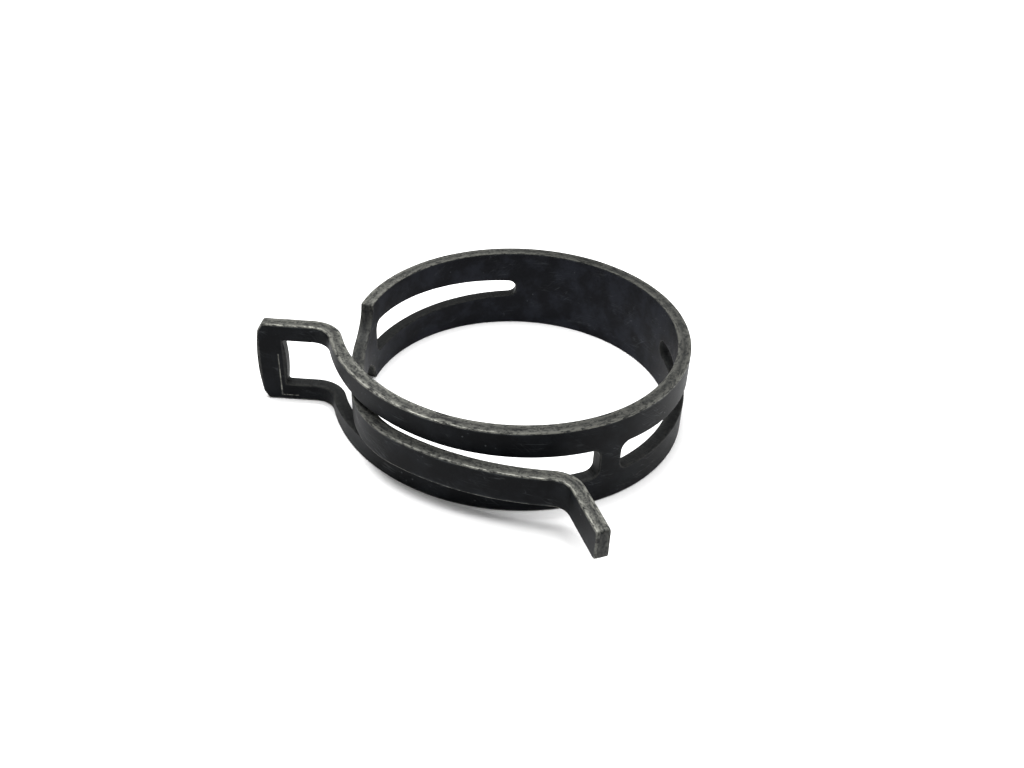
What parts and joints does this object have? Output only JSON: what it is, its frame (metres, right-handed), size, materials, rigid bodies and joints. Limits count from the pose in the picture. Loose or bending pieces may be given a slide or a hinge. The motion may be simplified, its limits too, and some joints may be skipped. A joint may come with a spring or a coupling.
{
  "type": "hose clamp",
  "caption": "Relaxed flat-strip spring hose clamp with a slotted fork, a narrow tongue and two splayed ears for pliers.",
  "frame": {"origin": "bore axis where it meets the plane of the strip's lower edge", "axes": "+Z along the bore axis, -X towards the fork ear, the tongue ear splays towards -Y and a little +X"},
  "size_m": [0.0577, 0.0566, 0.012],
  "materials": {
    "blackened_spring_steel": "blackened (oiled phosphate) spring steel, satin, with worn sheared edges"
  },
  "bodies": {
    "back": {"back_arc": "blackened_spring_steel"},
    "fork_link_1": {"fork_flank": "blackened_spring_steel"},
    "fork_link_2": {"fork_slot_rail_upper_1": "blackened_spring_steel", "fork_slot_rail_lower_1": "blackened_spring_steel"},
    "fork_link_3": {"fork_slot_rail_upper_2": "blackened_spring_steel", "fork_slot_rail_lower_2": "blackened_spring_steel"},
    "fork_link_4": {"fork_bridge": "blackened_spring_steel"},
    "fork_link_5": {"fork_rail_upper_1": "blackened_spring_steel", "fork_rail_lower_1": "blackened_spring_steel"},
    "fork_link_6": {"fork_rail_upper_2": "blackened_spring_steel", "fork_rail_lower_2": "blackened_spring_steel"},
    "fork_link_7": {"fork_rail_upper_3": "blackened_spring_steel", "fork_rail_lower_3": "blackened_spring_steel"},
    "fork_link_8": {"fork_rail_upper_4": "blackened_spring_steel", "fork_rail_lower_4": "blackened_spring_steel", "fork_ear_bend_upper": "blackened_spring_steel", "fork_ear_bend_lower": "blackened_spring_steel", "fork_leg_upper": "blackened_spring_steel", "fork_leg_lower": "blackened_spring_steel", "fork_crossbar": "blackened_spring_steel"},
    "tongue_link_1": {"tongue_flank": "blackened_spring_steel"},
    "tongue_link_2": {"tongue_slot_rail_upper_1": "blackened_spring_steel", "tongue_slot_rail_lower_1": "blackened_spring_steel"},
    "tongue_link_3": {"tongue_slot_rail_upper_2": "blackened_spring_steel", "tongue_slot_rail_lower_2": "blackened_spring_steel"},
    "tongue_link_4": {"tongue_shoulder": "blackened_spring_steel"},
    "tongue_link_5": {"tongue_length_1": "blackened_spring_steel"},
    "tongue_link_6": {"tongue_length_2": "blackened_spring_steel"},
    "tongue_link_7": {"tongue_length_3": "blackened_spring_steel"},
    "tongue_link_8": {"tongue_length_4": "blackened_spring_steel", "tongue_ear_bend": "blackened_spring_steel", "tongue_ear": "blackened_spring_steel"}
  },
  "joints": [
    {"name": "fork_flex_1", "type": "hinge", "parent": "back", "child": "fork_link_1", "pos_m": [0.01653, 0.01387, 0.006], "axis": [0, 0, 1], "range_deg": [0, 6.1], "stiffness_Nm_per_rad": 830},
    {"name": "fork_flex_2", "type": "hinge", "parent": "fork_link_1", "child": "fork_link_2", "pos_m": [0.02093, 0.00522, 0.006], "axis": [0, 0, 1], "range_deg": [0, 5.7]},
    {"name": "fork_flex_3", "type": "hinge", "parent": "fork_link_2", "child": "fork_link_3", "pos_m": [0.02102, -0.00485, 0.006], "axis": [0, 0, 1], "range_deg": [0, 5.69]},
    {"name": "fork_flex_4", "type": "hinge", "parent": "fork_link_3", "child": "fork_link_4", "pos_m": [0.01653, -0.01387, 0.006], "axis": [0, 0, 1], "range_deg": [0, 4.88]},
    {"name": "fork_flex_5", "type": "hinge", "parent": "fork_link_4", "child": "fork_link_5", "pos_m": [0.00843, -0.01986, 0.006], "axis": [0, 0, 1], "range_deg": [0, 3.58]},
    {"name": "fork_flex_6", "type": "hinge", "parent": "fork_link_5", "child": "fork_link_6", "pos_m": [-0.00149, -0.02169, 0.006], "axis": [0, 0, 1], "range_deg": [0, 3.34]},
    {"name": "fork_flex_7", "type": "hinge", "parent": "fork_link_6", "child": "fork_link_7", "pos_m": [-0.01125, -0.01914, 0.006], "axis": [0, 0, 1], "range_deg": [0, 3.1]},
    {"name": "fork_flex_8", "type": "hinge", "parent": "fork_link_7", "child": "fork_link_8", "pos_m": [-0.01916, -0.01285, 0.006], "axis": [0, 0, 1], "range_deg": [0, 6.04]},
    {"name": "tongue_flex_1", "type": "hinge", "parent": "back", "child": "tongue_link_1", "pos_m": [0.00522, 0.02093, 0.006], "axis": [0, 0, 1], "range_deg": [-6.11, 0]},
    {"name": "tongue_flex_2", "type": "hinge", "parent": "tongue_link_1", "child": "tongue_link_2", "pos_m": [-0.00449, 0.0211, 0.006], "axis": [0, 0, 1], "range_deg": [-5.76, 0]},
    {"name": "tongue_flex_3", "type": "hinge", "parent": "tongue_link_2", "child": "tongue_link_3", "pos_m": [-0.01298, 0.01723, 0.006], "axis": [0, 0, 1], "range_deg": [-5.59, 0]},
    {"name": "tongue_flex_4", "type": "hinge", "parent": "tongue_link_3", "child": "tongue_link_4", "pos_m": [-0.01905, 0.01013, 0.006], "axis": [0, 0, 1], "range_deg": [-5.55, 0]},
    {"name": "tongue_flex_5", "type": "hinge", "parent": "tongue_link_4", "child": "tongue_link_5", "pos_m": [-0.02156, -0.00075, 0.006], "axis": [0, 0, 1], "range_deg": [-6.75, 0]},
    {"name": "tongue_flex_6", "type": "hinge", "parent": "tongue_link_5", "child": "tongue_link_6", "pos_m": [-0.02014, -0.0108, 0.006], "axis": [0, 0, 1], "range_deg": [-5.61, 0]},
    {"name": "tongue_flex_7", "type": "hinge", "parent": "tongue_link_6", "child": "tongue_link_7", "pos_m": [-0.0144, -0.01892, 0.006], "axis": [0, 0, 1], "range_deg": [-4.7, 0]},
    {"name": "tongue_flex_8", "type": "hinge", "parent": "tongue_link_7", "child": "tongue_link_8", "pos_m": [-0.00526, -0.02328, 0.006], "axis": [0, 0, 1], "range_deg": [-7.54, 0]}
  ],
  "couplings": [
    {"joint": "fork_flex_2", "follows": "fork_flex_1", "ratio": 0.9321},
    {"joint": "fork_flex_3", "follows": "fork_flex_1", "ratio": 0.9304},
    {"joint": "fork_flex_4", "follows": "fork_flex_1", "ratio": 0.7981},
    {"joint": "fork_flex_5", "follows": "fork_flex_1", "ratio": 0.5846},
    {"joint": "fork_flex_6", "follows": "fork_flex_1", "ratio": 0.5451},
    {"joint": "fork_flex_7", "follows": "fork_flex_1", "ratio": 0.5065},
    {"joint": "fork_flex_8", "follows": "fork_flex_1", "ratio": 0.9872},
    {"joint": "tongue_flex_1", "follows": "fork_flex_1", "ratio": -1},
    {"joint": "tongue_flex_2", "follows": "fork_flex_1", "ratio": -0.9417},
    {"joint": "tongue_flex_3", "follows": "fork_flex_1", "ratio": -0.9144},
    {"joint": "tongue_flex_4", "follows": "fork_flex_1", "ratio": -0.908},
    {"joint": "tongue_flex_5", "follows": "fork_flex_1", "ratio": -1.1047},
    {"joint": "tongue_flex_6", "follows": "fork_flex_1", "ratio": -0.9168},
    {"joint": "tongue_flex_7", "follows": "fork_flex_1", "ratio": -0.7688},
    {"joint": "tongue_flex_8", "follows": "fork_flex_1", "ratio": -1.2334}
  ]
}
